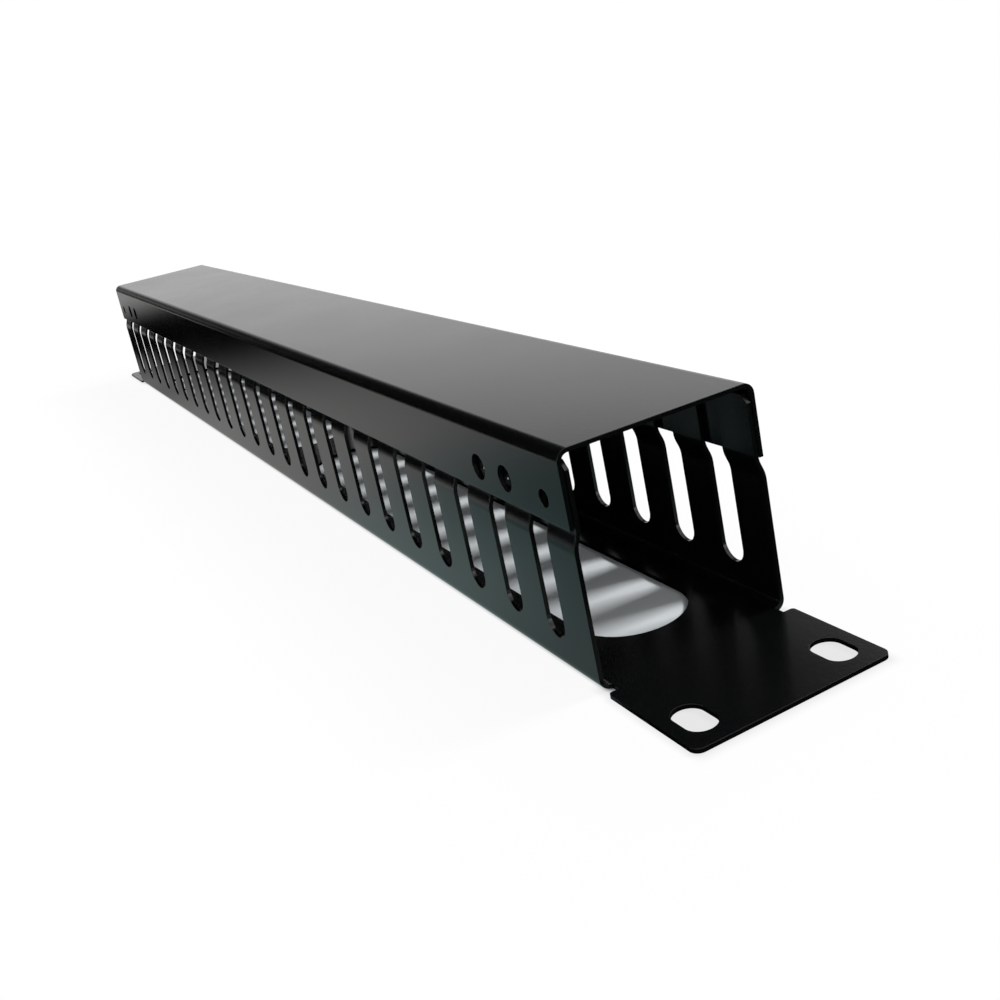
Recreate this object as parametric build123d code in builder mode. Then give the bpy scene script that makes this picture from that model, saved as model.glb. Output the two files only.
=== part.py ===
"""Horizontal cable manager, one rack unit: a slotted channel with rack ears and a lift-off cover.

Both pieces are folded from steel sheet. The part stands on its back panel, with the rack's
mounting plane at Z = 0. X runs across the rack, Y is the rack's height direction and
+Z points away from the rack, towards the cover.
"""

import os
from math import cos, radians, sin

from build123d import *

# Overall sizes: a 19 inch panel, one rack unit high.
panel_length = 482.6
panel_width = 44.0
overall_depth = 48.0

# Sheet and folds of the channel.
sheet = 0.9
bend_inside = 1.5

# Rack ears and their four slotted screw holes.
ear_length = 27.3
relief_width = 2.5
rack_hole_end_margin = 8.75
rack_hole_side_margin = 6.125
rack_slot_length = 10.0
rack_slot_width = 6.5
ear_corner_radius = 2.0
ear_shoulder_radius = 0.8

# Cut-outs in the back panel, one on each side of a bridge.
bridge_width = 20.0
cutout_end_margin = 11.5
cutout_side_margin = 9.5

# Slots between the fingers of each wall.
slot_count = 24
slot_width = 7.0
end_finger_width = 10.2
slot_floor = 6.8
finger_tip_chamfer = 1.6

# Step in the fingers that lets the cover lie flush with the walls.
cover_side_gap = 0.3
step_slope = 21.0
step_inside_radius = 5.4
step_below_cover_edge = 4.7
finger_tip_gap = 1.5

# Cover, as long as the walls.
cover_sheet = 0.9
cover_bend_inside = 1.5
flange_depth = 15.4

# Round holes in the cover's flanges: two snap holes, placed from the inner and outer
# edges of the second slot from each end, and a plain hole placed from the cover's end.
snap_hole_from_inner_edge = 0.7
snap_hole_from_outer_edge = 3.9
snap_hole_drop = 10.2
snap_hole_diameter = 5.6
plain_hole_inset = 8.0
plain_hole_drop = 10.7
plain_hole_diameter = 3.7

# Low dimples on the fingers behind the snap holes, set towards the slot and the
# holes' lower edges.
dimple_shifts = (0.6, 1.6)
dimple_below_hole = 1.4
dimple_radius = 1.1
dimple_top_radius = 0.45
dimple_height = 0.15
dimple_sides = 16

# Values that follow from the ones above.
half_width = panel_width / 2
body_length = panel_length - 2 * (ear_length + relief_width)
half_length = body_length / 2
ear_start = half_length + relief_width
ear_middle = ear_start + ear_length / 2
rack_hole_span = panel_length - 2 * rack_hole_end_margin
rack_hole_rise = panel_width - 2 * rack_hole_side_margin
cutout_length = half_length - cutout_end_margin - bridge_width / 2
cutout_width = panel_width - 2 * cutout_side_margin
cutout_middle = (bridge_width + cutout_length) / 2
slot_pitch = (body_length - 2 * end_finger_width - slot_width) / (slot_count - 1)
slot_bottom_centre = slot_floor + slot_width / 2

bend_outside = bend_inside + sheet
cover_bend_outside = cover_bend_inside + cover_sheet
flange_edge = overall_depth - flange_depth
finger_tip = overall_depth - cover_sheet - finger_tip_gap
step_offset = cover_sheet + cover_side_gap
finger_face = half_width - step_offset
step_start = flange_edge - step_below_cover_edge
bends_offset = (2 * step_inside_radius + sheet) * (1 - cos(radians(step_slope)))
step_straight = (step_offset - bends_offset) / sin(radians(step_slope))

second_slot = half_length - end_finger_width - slot_width / 2 - slot_pitch
snap_hole_xs = (
    second_slot - slot_width / 2 - snap_hole_from_inner_edge,
    second_slot + slot_width / 2 + snap_hole_from_outer_edge,
)
snap_hole_z = overall_depth - snap_hole_drop
dimple_xs = [x - shift for x, shift in zip(snap_hole_xs, dimple_shifts)]
dimple_z = snap_hole_z - dimple_below_hole
plain_hole_x = half_length - plain_hole_inset
plain_hole_z = overall_depth - plain_hole_drop


def both_ends(distances):
    """Each distance from the middle, at the left end and at the right end."""
    return [side * distance for distance in distances for side in (-1, 1)]


# Channel: one half of the folded profile, drawn along its outer face and thickened inwards.
with BuildPart() as channel:
    with BuildSketch(Plane.YZ):
        with BuildLine():
            floor = Line((0, 0), (half_width - bend_outside, 0))
            fold = JernArc(floor @ 1, floor % 1, bend_outside, 90)
            wall = Line(fold @ 1, (half_width, step_start))
            step_in = JernArc(wall @ 1, wall % 1, step_inside_radius + sheet, step_slope)
            slope = PolarLine(step_in @ 1, step_straight, direction=step_in % 1)
            step_up = JernArc(slope @ 1, slope % 1, step_inside_radius, -step_slope)
            Line(step_up @ 1, (finger_face, finger_tip))
            offset(amount=sheet, side=Side.LEFT, closed=True)
        make_face()
        mirror(about=Plane.YZ)
    extrude(amount=half_length, both=True)

    # The back panel runs on into two ears, with a relief beside each end of the folds.
    with BuildSketch():
        Rectangle(panel_length, panel_width - 2 * bend_outside)
        with Locations(*[(x, 0) for x in both_ends([ear_middle])]):
            Rectangle(ear_length, panel_width)
    extrude(amount=sheet)
    uprights = channel.edges().filter_by(Axis.Z)
    across_ends = uprights.group_by(lambda edge: round(abs(edge.center().X), 3))
    shoulders = across_ends[-2].group_by(lambda edge: round(abs(edge.center().Y), 3))
    fillet(across_ends[-1], ear_corner_radius)
    fillet(shoulders[-1], ear_shoulder_radius)

    # Finger slots, cut through both walls and open at the tips.
    with BuildSketch(Plane.XZ):
        with GridLocations(slot_pitch, 1, slot_count, 1):
            with Locations((0, slot_bottom_centre)):
                Circle(slot_width / 2)
                Rectangle(
                    slot_width,
                    overall_depth - slot_bottom_centre,
                    align=(Align.CENTER, Align.MIN),
                )
    extrude(amount=panel_width, both=True, mode=Mode.SUBTRACT)
    tip_corners = channel.edges().filter_by(Axis.Y).group_by(Axis.Z)[-1]
    chamfer(tip_corners, finger_tip_chamfer)

    # Cut-outs of the back panel and slotted holes of the ears.
    with BuildSketch():
        with Locations(*[(x, 0) for x in both_ends([cutout_middle])]):
            SlotOverall(cutout_length, cutout_width)
        with GridLocations(rack_hole_span, rack_hole_rise, 2, 2):
            SlotOverall(rack_slot_length, rack_slot_width)
    extrude(amount=sheet, mode=Mode.SUBTRACT)

    # Dimples: low tapered studs on the outer faces of four fingers of each wall.
    for side in (-1, 1):
        for x in both_ends(dimple_xs):
            face = Plane((x, side * finger_face, dimple_z), x_dir=(1, 0, 0), z_dir=(0, side, 0))
            with BuildSketch(face):
                RegularPolygon(dimple_radius, dimple_sides)
            with BuildSketch(face.offset(dimple_height)):
                RegularPolygon(dimple_top_radius, dimple_sides)
            loft()

channel.part.label = "channel"

# Cover: a shallow folded U whose flanges hang outside the stepped fingers.
with BuildPart() as cover:
    with BuildSketch(Plane.YZ):
        with BuildLine():
            top = Line((0, overall_depth), (half_width - cover_bend_outside, overall_depth))
            fold = JernArc(top @ 1, top % 1, cover_bend_outside, -90)
            Line(fold @ 1, (half_width, flange_edge))
            offset(amount=cover_sheet, side=Side.RIGHT, closed=True)
        make_face()
        mirror(about=Plane.YZ)
    extrude(amount=half_length, both=True)

    # Round holes near both ends of both flanges.
    with BuildSketch(Plane.XZ):
        with Locations(*[(x, snap_hole_z) for x in both_ends(snap_hole_xs)]):
            Circle(snap_hole_diameter / 2)
        with Locations(*[(x, plain_hole_z) for x in both_ends([plain_hole_x])]):
            Circle(plain_hole_diameter / 2)
    extrude(amount=panel_width, both=True, mode=Mode.SUBTRACT)

cover.part.label = "cover"

os.makedirs("parts", exist_ok=True)
export_step(channel.part, "parts/channel.step")
export_step(cover.part, "parts/cover.step")
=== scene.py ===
# %% [markdown]
# # A one-unit horizontal cable manager, dressed in Blender
#
# The real thing is two pieces of folded steel sheet under a satin black powder coat: a channel
# whose walls are cut into fingers, and a cover that drops over the finger tips. The solids come
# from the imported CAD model, so this lesson is about what the eye reads after the shape is right:
# the camera, the light that a black surface needs, and the coat itself.

import math

import bpy
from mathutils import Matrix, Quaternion, Vector


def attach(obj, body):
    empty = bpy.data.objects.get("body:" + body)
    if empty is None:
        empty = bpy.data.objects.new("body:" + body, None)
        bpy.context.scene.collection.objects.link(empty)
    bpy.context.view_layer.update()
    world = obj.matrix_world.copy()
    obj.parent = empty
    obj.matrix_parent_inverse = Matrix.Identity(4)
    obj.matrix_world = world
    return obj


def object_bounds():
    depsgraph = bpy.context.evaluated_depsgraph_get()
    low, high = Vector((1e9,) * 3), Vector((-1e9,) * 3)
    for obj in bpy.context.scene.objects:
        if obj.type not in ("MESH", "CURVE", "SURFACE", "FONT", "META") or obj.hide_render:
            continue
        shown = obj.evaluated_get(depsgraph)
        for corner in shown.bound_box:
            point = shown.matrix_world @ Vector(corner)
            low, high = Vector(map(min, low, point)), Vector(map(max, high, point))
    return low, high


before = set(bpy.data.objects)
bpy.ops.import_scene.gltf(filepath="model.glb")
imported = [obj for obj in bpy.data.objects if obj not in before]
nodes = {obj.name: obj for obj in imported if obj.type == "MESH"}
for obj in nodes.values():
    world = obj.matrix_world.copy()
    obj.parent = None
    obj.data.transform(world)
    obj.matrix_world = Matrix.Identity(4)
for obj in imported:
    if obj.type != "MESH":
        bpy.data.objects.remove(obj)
cad_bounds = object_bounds()
print("nodes:", sorted(nodes))
print("box in millimetres:", [[round(1000 * v, 1) for v in corner] for corner in cad_bounds])

# %% [markdown]
# ## The camera
#
# The photograph was taken close to one end with the camera tipped to its side, so the long body
# runs away steeply. The place, aim, roll and lens below come from fitting a pinhole camera to the
# corners, the rack holes and the even row of slots. Lens shift moves the picture without turning
# the camera, which keeps the fitted perspective.

# %% Camera at the photograph's viewpoint
CAMERA_PLACE = Vector((0.394654, -0.113076, 0.113906))
CAMERA_TARGET = Vector((0.006004, 0.072540, -0.016468))
CAMERA_ROLL = math.radians(-11.38)
CAMERA_LENS = 44.31
CAMERA_SENSOR = 36.0
CAMERA_SHIFT = (-0.03185, -0.06624)
CAMERA_NEAREST = 0.01

camera_data = bpy.data.cameras.new("photo_camera")
camera_data.sensor_width = CAMERA_SENSOR
camera_data.lens = CAMERA_LENS
camera_data.shift_x, camera_data.shift_y = CAMERA_SHIFT
camera_data.clip_start = CAMERA_NEAREST
camera = bpy.data.objects.new("photo_camera", camera_data)
camera.location = CAMERA_PLACE
aim = (CAMERA_TARGET - CAMERA_PLACE).to_track_quat("-Z", "Y")
camera.rotation_mode = "QUATERNION"
camera.rotation_quaternion = aim @ Quaternion((0.0, 0.0, 1.0), CAMERA_ROLL)
bpy.context.scene.collection.objects.link(camera)
bpy.context.scene.camera = camera
print("camera stands", round((CAMERA_TARGET - CAMERA_PLACE).length, 3), "m from its target")

# %% [markdown]
# ## Node maths as plain expressions
#
# A material in Blender is a graph of nodes, and so is a Geometry Nodes group. Written link by
# link it is hard to read, so a small class wraps a socket and lets Python's own operators add the
# Math nodes. Three more methods draw the soft edges of light: ramp rises over a range, fade falls
# over one, and band rises over one range and falls over the next.


# %% A socket that does arithmetic
class Wire:
    """One output socket of a node graph."""

    def __init__(self, graph, socket):
        self.graph = graph
        self.socket = socket

    def _math(self, operation, *values):
        return self.graph.node("ShaderNodeMath", {"operation": operation}, dict(enumerate(values)))

    def root(self):
        return self._math("SQRT", self)

    def sign(self):
        return self._math("SIGN", self)

    def __abs__(self):
        return self._math("ABSOLUTE", self)

    def __neg__(self):
        return self._math("SUBTRACT", 0.0, self)

    def __add__(self, other):
        return self._math("ADD", self, other)

    def __radd__(self, other):
        return self._math("ADD", other, self)

    def __sub__(self, other):
        return self._math("SUBTRACT", self, other)

    def __rsub__(self, other):
        return self._math("SUBTRACT", other, self)

    def __mul__(self, other):
        return self._math("MULTIPLY", self, other)

    def __rmul__(self, other):
        return self._math("MULTIPLY", other, self)

    def __truediv__(self, other):
        return self._math("DIVIDE", self, other)

    def ramp(self, low, high, shape="SMOOTHSTEP"):
        """0 below low, 1 above high, smooth between."""
        return self.graph.node(
            "ShaderNodeMapRange",
            {"interpolation_type": shape},
            {"Value": self, "From Min": low, "From Max": high},
            "Result",
        )

    def fade(self, low, high, shape="SMOOTHSTEP"):
        """1 below low, 0 above high, smooth between."""
        return 1.0 - self.ramp(low, high, shape)

    def band(self, rise, fall):
        """Rises over the first range and falls over the second."""
        return self.ramp(*rise) * self.fade(*fall)


print("wire ready")

# %% [markdown]
# Every node comes from one method of the graph, which sets the node's settings first and then
# feeds its inputs with numbers or with wires.


# %% A graph that adds its own nodes
class Graph:
    """A node tree that is filled node by node."""

    def __init__(self, tree):
        self.tree = tree
        tree.nodes.clear()

    def node(self, kind, settings=None, inputs=None, output=0):
        """Adds one node, sets it up and returns one of its outputs as a Wire."""
        node = self.tree.nodes.new(kind)
        for name, value in (settings or {}).items():
            setattr(node, name, value)
        for name, value in (inputs or {}).items():
            if isinstance(value, Wire):
                self.tree.links.new(value.socket, node.inputs[name])
            else:
                node.inputs[name].default_value = value
        return Wire(self, node.outputs[output]) if len(node.outputs) else node

    def axes(self, vector, names):
        """The named axes of a vector, each as a Wire."""
        return [self.node("ShaderNodeSeparateXYZ", {}, {0: vector}, name) for name in names]


def shading(owner):
    """An empty graph for a material or the world."""
    owner.use_nodes = True
    return Graph(owner.node_tree)


print("graph ready")

# %% [markdown]
# ## The powder coat
#
# Powder coat is a polymer baked on to the steel. Up close it has a fine orange-peel surface and a
# satin gloss that is never quite even: handling leaves faint duller patches, and a little pale
# dust lies in them. All of it is driven by Object coordinates, so the pattern is fixed to the
# steel. The Bevel node rounds the shading at sheared edges, where the melted coat draws back into
# a small radius.

# %% Colours and patterns of the coat
MM = 0.001
COAT_BLACK = (0.0024, 0.0028, 0.0029, 1.0)
COAT_DUSTY = (0.0042, 0.0046, 0.0048, 1.0)
PEEL = {"Scale": 900.0, "Detail": 2.0, "Roughness": 0.5}
GRAIN = {"Scale": 2600.0, "Detail": 1.0}
HANDLING = {"Scale": 28.0, "Detail": 4.0, "Roughness": 0.6}
NOISE_MIDDLE = 0.5
DUST_RANGE = (0.45, 0.75)
DUST_MOST = 0.6
print("orange-peel bumps are about", round(1.0 / PEEL["Scale"] / MM, 1), "mm apart")

# %% Gloss and relief of the coat
COAT_IOR = 1.5
COAT_ROUGHNESS = 0.19
HANDLING_DULLS = 0.06
PEEL_DULLS = 0.04
EDGE = {"Radius": 0.15 * MM}
EDGE_SAMPLES = 6
GRAIN_SHARE = 0.4
RELIEF = {"Strength": 0.25, "Distance": 0.03 * MM}
print("coat roughness", COAT_ROUGHNESS, "edge radius", round(EDGE["Radius"] / MM, 2), "mm")


# %% Powder coat material
def powder_coat(name):
    """Satin black powder coat on sheet steel."""
    material = bpy.data.materials.new(name)
    graph = shading(material)
    place = graph.node("ShaderNodeTexCoord", output="Object")
    peel, grain, handling = (
        graph.node("ShaderNodeTexNoise", {}, {"Vector": place, **pattern})
        for pattern in (PEEL, GRAIN, HANDLING)
    )
    dust = handling.ramp(*DUST_RANGE) * DUST_MOST
    colour = graph.node(
        "ShaderNodeMix",
        {"data_type": "RGBA"},
        {"Factor": dust, "A": COAT_BLACK, "B": COAT_DUSTY},
        output=2,
    )
    gloss = COAT_ROUGHNESS + (handling - NOISE_MIDDLE) * HANDLING_DULLS
    gloss = gloss + (peel - NOISE_MIDDLE) * PEEL_DULLS
    edge = graph.node("ShaderNodeBevel", {"samples": EDGE_SAMPLES}, EDGE)
    relief = {**RELIEF, "Height": peel + grain * GRAIN_SHARE, "Normal": edge}
    normal = graph.node("ShaderNodeBump", {}, relief)
    shader = graph.node(
        "ShaderNodeBsdfPrincipled",
        {},
        {"Base Color": colour, "Roughness": gloss, "Normal": normal, "IOR": COAT_IOR},
    )
    graph.node("ShaderNodeOutputMaterial", {}, {"Surface": shader})
    return material


channel_paint = powder_coat("channel_paint")
cover_paint = powder_coat("cover_paint")
print("each coat has", len(channel_paint.node_tree.nodes), "nodes")


# %% Both pieces dressed
def dress(node_name, material):
    """Gives every material slot of a CAD node one finish."""
    steel = nodes[node_name]
    for slot in steel.material_slots:
        slot.material = material
    print(node_name, "dressed in", material.name)


dress("channel", channel_paint)
dress("cover", cover_paint)

# %% [markdown]
# ## The snap dimples
#
# Four fingers of each wall carry a pressed dimple behind a hole of the cover. The solid model
# keeps it as a low stud. Here it gets its smooth form: a cap of a sphere, built by one rule from
# a radius and a height, and set on the fingers by an instancing node. A flat cone mesh gives the
# rings, and each ring is lifted on to the sphere.

# %% Dimple group and its named inputs
DIMPLE_INPUTS = {"Radius": "Float", "Height": "Float", "Rings": "Int", "Sides": "Int",
                 "Finish": "Material"}
group = bpy.data.node_groups.new("snap_dimples", "GeometryNodeTree")
group.is_modifier = True
group.interface.new_socket(name="Places", in_out="INPUT", socket_type="NodeSocketGeometry")
for name, kind in DIMPLE_INPUTS.items():
    group.interface.new_socket(name=name, in_out="INPUT", socket_type="NodeSocket" + kind)
group.interface.new_socket(name="Dimples", in_out="OUTPUT", socket_type="NodeSocketGeometry")

graph = Graph(group)
places, radius, height, rings, sides, finish = (
    graph.node("NodeGroupInput", output=name) for name in ("Places", *DIMPLE_INPUTS)
)
print("dimple group takes", ", ".join(DIMPLE_INPUTS))

# %% One dimple
disc = graph.node(
    "GeometryNodeMeshCone",
    {"fill_type": "NONE"},
    {"Vertices": sides, "Side Segments": rings, "Radius Top": 0.0, "Radius Bottom": radius,
     "Depth": height},
)
spot = graph.node("GeometryNodeInputPosition")
x, y = graph.axes(spot, "XY")
ball = (radius * radius + height * height) / (height * 2.0)
lift = (ball * ball - x * x - y * y).root() - ball + height
on_ball = graph.node("ShaderNodeCombineXYZ", {}, {"X": x, "Y": y, "Z": lift})
raised = graph.node("GeometryNodeSetPosition", {}, {"Geometry": disc, "Position": on_ball})
print("one dimple takes", len(group.nodes), "nodes")

# %% A dimple at every place, facing out of the channel
(side,) = graph.axes(spot, "Y")
turn = graph.node("ShaderNodeCombineXYZ", {}, {"X": side.sign() * (-math.pi / 2)})
facing = graph.node("FunctionNodeEulerToRotation", {}, {"Euler": turn})
copies = graph.node(
    "GeometryNodeInstanceOnPoints", {}, {"Points": places, "Instance": raised, "Rotation": facing}
)
real = graph.node("GeometryNodeRealizeInstances", {}, {0: copies})
smooth = graph.node("GeometryNodeSetShadeSmooth", {}, {0: real})
coated = graph.node("GeometryNodeSetMaterial", {}, {"Geometry": smooth, "Material": finish})
graph.node("NodeGroupOutput", {}, {0: coated})
print("dimple group has", len(group.nodes), "nodes")

# %% [markdown]
# The places are plain points on the outer faces of the fingers. The node group runs once, its
# result is kept as a mesh, and the piece rides on the channel.

# %% Places of the dimples
FINGER_FACE = 20.8 * MM
DIMPLE_LEVEL = 36.4 * MM
DIMPLE_XS = (175.8 * MM, 186.4 * MM)

points = [
    (end * out, wall * FINGER_FACE, DIMPLE_LEVEL)
    for out in DIMPLE_XS for end in (-1, 1) for wall in (-1, 1)
]
point_mesh = bpy.data.meshes.new("snap_dimples")
point_mesh.from_pydata(points, [], [])
dimples = bpy.data.objects.new("snap_dimples", point_mesh)
bpy.context.scene.collection.objects.link(dimples)
print("places for dimples:", len(points))

# %% Dimples on the fingers
DIMPLE_VALUES = {"Radius": 1.2 * MM, "Height": 0.28 * MM, "Rings": 8, "Sides": 32,
                 "Finish": channel_paint}

modifier = dimples.modifiers.new("snap_dimples", "NODES")
modifier.node_group = group
for item in group.interface.items_tree:
    if item.name in DIMPLE_VALUES:
        modifier[item.identifier] = DIMPLE_VALUES[item.name]
built = dimples.evaluated_get(bpy.context.evaluated_depsgraph_get())
dimples.data = bpy.data.meshes.new_from_object(built)
dimples.modifiers.clear()
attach(dimples, "channel")
print("dimples have", len(dimples.data.polygons), "faces")

# %% [markdown]
# ## What a black coat reflects
#
# A black coat shows its surroundings more than its own colour. Mirroring the camera's rays at the
# top, at the cover's side and at the fingers tells what must stand in each direction: a pale
# backdrop low behind the part that fades out upwards, a grey table close in front, and a dark room
# between them. That is why the top is pale at its far end, the fold is a black line and the inside
# of the channel is black. Below, a pair of numbers is the range over which a light rises or falls.

# %% [markdown]
# ## The table
#
# The table is one large square under the part, with three jobs. To the camera it glows white, a
# little less close to the part, and less again under the ears, where the dimmer glow is painted
# shade for the ears' shadow. Under the body it doesn't glow: there it is plain paint, on which the
# light that falls through the slots draws stripes. To a reflection it is a grey sheet. One
# material does all three, because the Light Path node tells it which kind of ray has arrived.

# %% Table mesh
TABLE_HALF = 6.0
TABLE_GAP = 0.2 * MM

table_mesh = bpy.data.meshes.new("table")
table_mesh.from_pydata(
    [(x * TABLE_HALF, y * TABLE_HALF, 0) for x, y in ((-1, -1), (1, -1), (1, 1), (-1, 1))],
    [], [(0, 1, 2, 3)],
)
table = bpy.data.objects.new("table", table_mesh)
table.location.z = cad_bounds[0][2] - TABLE_GAP
bpy.context.scene.collection.objects.link(table)
print("table", 2 * TABLE_HALF, "m wide")

# %% Distances on the table, in metres
BODY_HALF_LENGTH = 211.5 * MM
BODY_HALF_FLAT = 19.6 * MM

table_paint = bpy.data.materials.new("table_white")
graph = shading(table_paint)
seen = graph.node("ShaderNodeLightPath", output="Is Camera Ray")
glossy = graph.node("ShaderNodeLightPath", output="Is Glossy Ray")
along, across = graph.axes(graph.node("ShaderNodeTexCoord", output="Object"), "XY")
past_end = abs(along) - BODY_HALF_LENGTH
past_side = abs(across) - BODY_HALF_FLAT
print("flat of the back is", round(2 * BODY_HALF_FLAT / MM, 1), "mm across")


# %% Table as the camera sees it
def either(first, second):
    """1 where at least one of two masks is 1."""
    return 1.0 - (1.0 - first) * (1.0 - second)


BODY_EDGE = (0.0, 0.002)
OPEN_SIDE = (0.010, 0.060)
OPEN_END = (0.030, 0.080)
TABLE_NEAR = 0.93
EAR_ROOT = (-0.005, 0.0)
EAR_TIP = (0.028, 0.033)
EAR_SIDE = (0.001, 0.004)
EAR_SHADE = 0.20

clear_of_body = either(past_end.ramp(*BODY_EDGE), past_side.ramp(*BODY_EDGE))
open_table = either(past_side.ramp(*OPEN_SIDE), past_end.ramp(*OPEN_END))
glow = seen * clear_of_body * (open_table * (1.0 - TABLE_NEAR) + TABLE_NEAR)
# Painted shade: under each ear the white glow is dimmed by EAR_SHADE to stand in for the ear's
# shadow.
painted_shade_under_ear = past_end.band(EAR_ROOT, EAR_TIP) * past_side.fade(*EAR_SIDE)
white = seen * (1.0 - painted_shade_under_ear * EAR_SHADE)
print("glow beside the body", TABLE_NEAR, "white under an ear", 1.0 - EAR_SHADE)

# %% [markdown]
# The mirrored rays say how the grey sheet runs: it rises from the left, dims towards the right,
# more so away from the part, and ends in the dark past the near end and out to the sides. Two
# spots on the left go with it. The feet of the farthest fingers mirror one of them, and the far
# end of the cover's flange mirrors the other, far out.

# %% Grey sheet along the part
SHEET_START = (-0.26, -0.01)
SHEET_SKEW = 0.055
SKEW_SIDE = (0.010, 0.045)
SHEET_END = (0.205, 0.222)
RIGHT_HALF = (0.0, 0.11)
AWAY = (0.004, 0.050)
AWAY_DIMS = 0.56
LAST_STRETCH = (0.13, 0.21)
LAST_STRETCH_DIMS = 0.32

from_left = along + past_side.fade(*SKEW_SIDE) * SHEET_SKEW
sheet = from_left.ramp(*SHEET_START) * along.fade(*SHEET_END)
sheet = sheet * (1.0 - along.ramp(*RIGHT_HALF) * past_side.ramp(*AWAY) * AWAY_DIMS)
sheet = sheet * (1.0 - along.ramp(*LAST_STRETCH) * LAST_STRETCH_DIMS)
print("sheet runs from", SHEET_START[0], "to", SHEET_END[1], "m along the part")

# %% Two spots on the left
LEFT_SPOT_START = (0.17, 0.22)
LEFT_SPOT_END = (0.27, 0.32)
LEFT_SPOT_SIDE = (0.010, 0.035)
LEFT_SPOT = 0.30
FAR_SPOT_START = (0.40, 0.58)
FAR_SPOT = 1.3
SHEET_SIDE = (0.07, 0.18)
TABLE_SHEEN = 0.46

leftward = -along
left_spot = leftward.band(LEFT_SPOT_START, LEFT_SPOT_END) * LEFT_SPOT
left_spot = left_spot * past_side.fade(*LEFT_SPOT_SIDE)
far_spot = leftward.ramp(*FAR_SPOT_START) * FAR_SPOT
reflected = (sheet + left_spot + far_spot) * past_side.fade(*SHEET_SIDE)
reflected = reflected * clear_of_body * TABLE_SHEEN
print("a reflection of the table is at most", round(TABLE_SHEEN * FAR_SPOT, 2))

# %% [markdown]
# Towards the right the sheet loses some red, so it turns a little blue-green, as the reflections
# in the photograph do. The plain paint under the glow is a cool white.

# %% Table material
TINT_RANGE = (0.0, 0.14)
RED_LOSS = 0.26
RED_LOSS_AWAY = 0.12
BLUE_SHARE = 0.98
PLAIN_PAINT = (0.78, 0.82, 0.84, 1.0)

red_share = 1.0 - along.ramp(*TINT_RANGE) * (past_side.ramp(*AWAY) * RED_LOSS_AWAY + RED_LOSS)
mirrored = glossy * reflected
shine = graph.node(
    "ShaderNodeCombineColor",
    {},
    {"Red": white + mirrored * red_share, "Green": white + mirrored,
     "Blue": white + mirrored * BLUE_SHARE},
)
diffuse = graph.node("ShaderNodeBsdfDiffuse", {}, {"Color": PLAIN_PAINT})
emission = graph.node("ShaderNodeEmission", {}, {"Color": shine, "Strength": 1.0})
mixed = graph.node("ShaderNodeMixShader", {}, {0: glow + glossy, 1: diffuse, 2: emission})
graph.node("ShaderNodeOutputMaterial", {}, {"Surface": mixed})
table_mesh.materials.append(table_paint)
print("table painted with", len(table_paint.node_tree.nodes), "nodes")

# %% [markdown]
# ## The world
#
# The camera sees plain white, and diffuse light gets one even level. The rest is for reflections.
# East, north and up are the X, Y and Z of a direction; the photograph's camera looks west and a
# little north. The backdrop is full close to the floor and fades out upwards, a little later
# towards the north. It is gone towards the south, on the left of the picture, where the room is
# dark, and its upper left corner is dark too. Only a low strip on the left glows faintly, for the
# far end of the fold.

# %% Directions of the world
world = bpy.data.worlds.new("studio")
bpy.context.scene.world = world
graph = shading(world)
seen = graph.node("ShaderNodeLightPath", output="Is Camera Ray")
glossy = graph.node("ShaderNodeLightPath", output="Is Glossy Ray")
east, north, up = graph.axes(graph.node("ShaderNodeTexCoord", output="Generated"), "XYZ")
print("directions take", len(world.node_tree.nodes), "nodes")

# %% Backdrop and low strip
BACKDROP_TOP = (0.205, 0.455)
TOP_LEAN = 0.35
LEAN_MIDDLE = 0.40
BACKDROP_LEFT = (-0.10, 0.08)
CORNER_ABOVE = (0.33, 0.43)
CORNER_LEFT_OF = (0.50, 0.57)
BACKDROP = 0.97
STRIP_LEFT = (-0.24, -0.15)
STRIP_RIGHT = (-0.05, 0.05)
STRIP_TOP = (0.13, 0.175)
STRIP = 0.30

height = up - (north - LEAN_MIDDLE) * TOP_LEAN
backdrop = height.fade(*BACKDROP_TOP, "LINEAR") * north.ramp(*BACKDROP_LEFT)
backdrop = backdrop * (1.0 - up.ramp(*CORNER_ABOVE) * north.fade(*CORNER_LEFT_OF))
strip = north.band(STRIP_LEFT, STRIP_RIGHT) * up.fade(*STRIP_TOP)
print("backdrop", BACKDROP, "low strip", STRIP)

# %% [markdown]
# The photograph's reflections need only that much of the room. Seen from elsewhere the part would
# be black, so white cards stand in the other directions: overhead, behind the camera, in the south
# and in the north. One small bright lamp stands where the domes of the snap dimples mirror it as
# glints.

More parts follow.
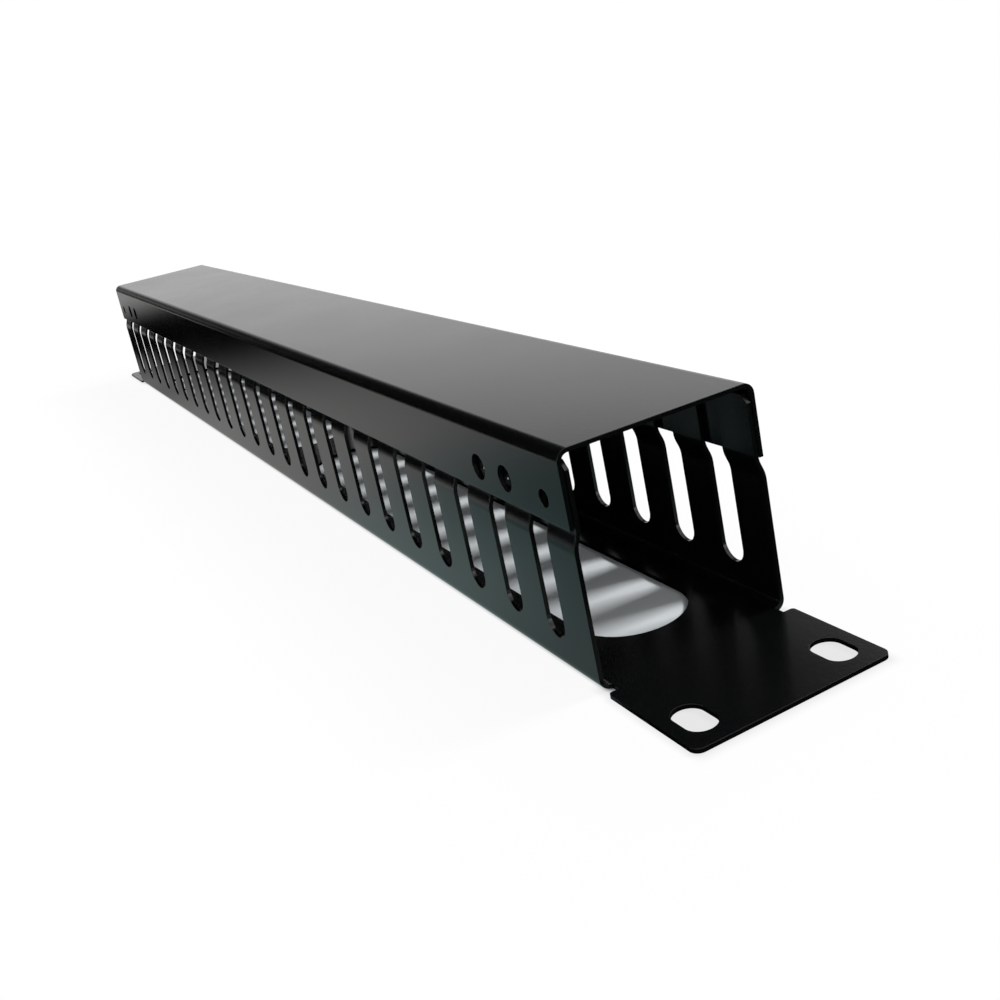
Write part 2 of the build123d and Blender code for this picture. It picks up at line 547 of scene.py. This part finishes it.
# %% Cards and small lamp
OVERHEAD = (0.62, 0.90)
BEHIND_CAMERA = (0.05, 0.50)
SOUTH = (0.62, 0.85)
SOUTH_WEST_END = (0.30, 0.50)
NORTH = (0.58, 0.68)
NORTH_ABOVE = (0.10, 0.40)
CARDS = 0.90
LAMP_WEST, LAMP_SOUTH, LAMP_UP = (0.54, 0.835, 0.085)
LAMP_EDGE = (0.988, 0.997)
SMALL_LAMP = 8.0

south_card = (-north).ramp(*SOUTH) * (-east).fade(*SOUTH_WEST_END)
north_card = north.ramp(*NORTH) * up.ramp(*NORTH_ABOVE)
cards = up.ramp(*OVERHEAD) + east.ramp(*BEHIND_CAMERA) + south_card + north_card
small_lamp = (up * LAMP_UP - east * LAMP_WEST - north * LAMP_SOUTH).ramp(*LAMP_EDGE)
print("cards", CARDS, "small lamp", SMALL_LAMP)

# %% World material
ROOM = 0.004
AMBIENT = 0.56

reflected = backdrop * BACKDROP + strip * STRIP + cards * CARDS + small_lamp * SMALL_LAMP + ROOM
level = seen + (1.0 - seen) * (glossy * reflected + (1.0 - glossy) * AMBIENT)
background = graph.node("ShaderNodeBackground", {}, {"Color": level, "Strength": 1.0})
graph.node("ShaderNodeOutputWorld", {}, {"Surface": background})
print("world lit with", len(world.node_tree.nodes), "nodes")

# %% [markdown]
# ## The key light
#
# One soft box behind the part, leaning a little to the right. Its light falls through the slots
# of the far wall and draws the stripes that show in the cut-outs. It is kept out of reflections.

# %% Key light
KEY_PLACE = Vector((0.37, 1.15, 0.95))
KEY_TARGET = Vector((0.1, 0.0, 0.0))
KEY_SIZE = 0.34
KEY_WATTS = 20.0

key_data = bpy.data.lights.new("key", "AREA")
key_data.size = KEY_SIZE
key_data.energy = KEY_WATTS
key = bpy.data.objects.new("key", key_data)
key.location = KEY_PLACE
key.rotation_mode = "QUATERNION"
key.rotation_quaternion = (KEY_TARGET - KEY_PLACE).to_track_quat("-Z", "Y")
bpy.context.scene.collection.objects.link(key)
key.visible_glossy = False
bpy.context.scene.view_settings.view_transform = "Standard"
print("key light stands", round((KEY_TARGET - KEY_PLACE).length, 2), "m from its target")
